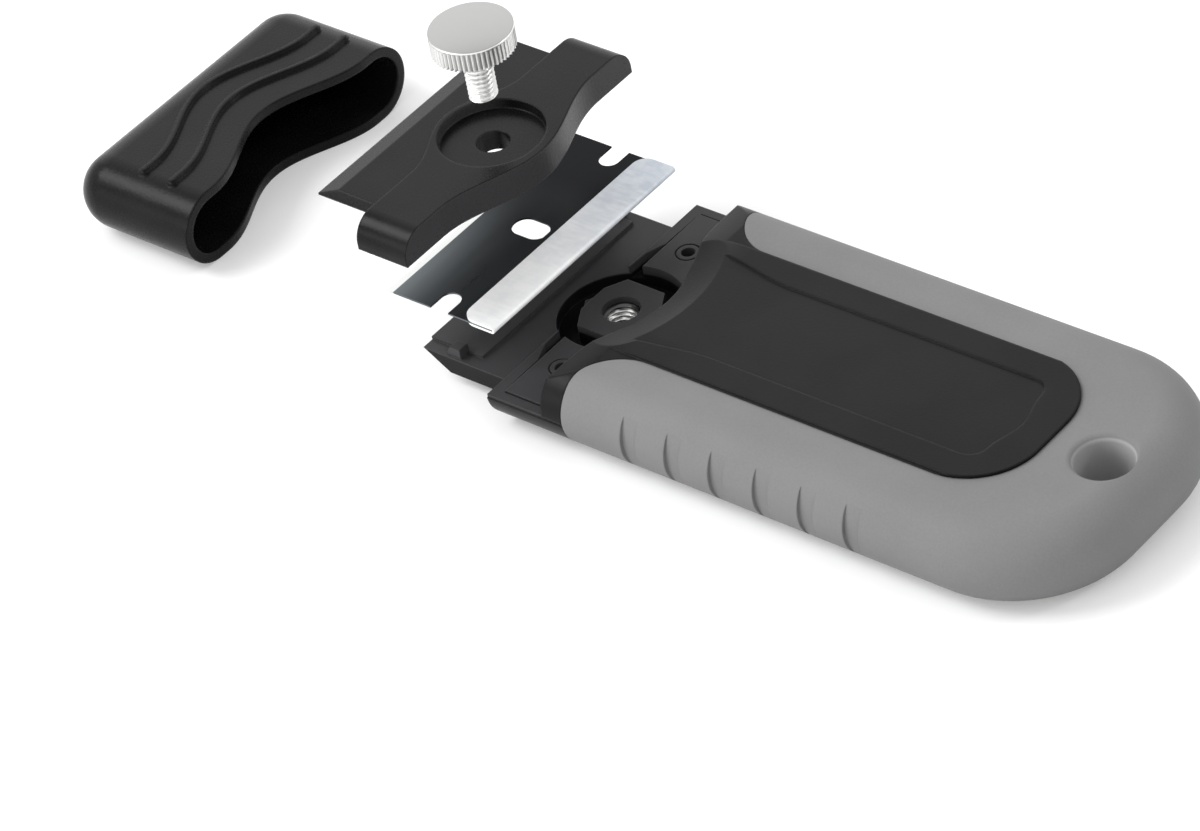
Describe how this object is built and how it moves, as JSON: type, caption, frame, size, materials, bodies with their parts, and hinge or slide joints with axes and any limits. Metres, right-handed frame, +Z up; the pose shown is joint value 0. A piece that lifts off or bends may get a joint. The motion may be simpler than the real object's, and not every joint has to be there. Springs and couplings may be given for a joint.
{
  "type": "razor blade scraper",
  "caption": "Hand scraper that clamps a single-edge razor blade under a plate with a knurled thumb screw, with a soft-grip handle, a hang hole and a slip-on blade cap.",
  "frame": {"origin": "on the flat underside of the handle, under the axis of the thumb screw's threaded hole", "axes": "+X along the handle towards its rear end, +Y across the handle, +Z up out of the face that carries the thumb screw"},
  "size_m": [0.1687, 0.0516, 0.0452],
  "materials": {
    "shell": "satin",
    "nose": "satin",
    "insert": "bright threaded metal",
    "screws": "zinc plated",
    "cover": "satin",
    "grip": "matt soft-touch",
    "blade": "polished dark steel with a bright ground edge",
    "spine": "brushed across its width",
    "plate": "satin",
    "thumb_screw": "satin nickel",
    "cap": "fine satin texture"
  },
  "bodies": {
    "handle": {"lower_shell": "shell", "nose_plate": "nose", "threaded_insert": "insert", "housing_screws": "screws", "top_cover": "cover", "soft_grip": "grip"},
    "blade": {"blade_steel": "blade", "blade_spine": "spine"},
    "clamp_plate": {"clamp_plate": "plate"},
    "thumb_screw": {"thumb_screw": "thumb_screw"},
    "blade_cap": {"blade_cap": "cap"}
  },
  "joints": [
    {"name": "cap_slide", "type": "slide", "parent": "handle", "child": "blade_cap", "axis": [0.9954, -0.0955, 0], "range_m": [0, 0.05656]},
    {"name": "plate_slide", "type": "slide", "parent": "handle", "child": "clamp_plate", "axis": [0.691, 0, -0.7229], "range_m": [0, 0.02504]},
    {"name": "blade_slide", "type": "slide", "parent": "handle", "child": "blade", "axis": [0, -0.0748, -0.9972], "range_m": [0, 0.00802]},
    {"name": "screw_slide", "type": "slide", "parent": "clamp_plate", "child": "thumb_screw", "axis": [0, 0, -1], "range_m": [0, 0.0149]}
  ],
  "couplings": [
    {"joint": "blade_slide", "follows": "plate_slide", "ratio": 0.3204}
  ]
}
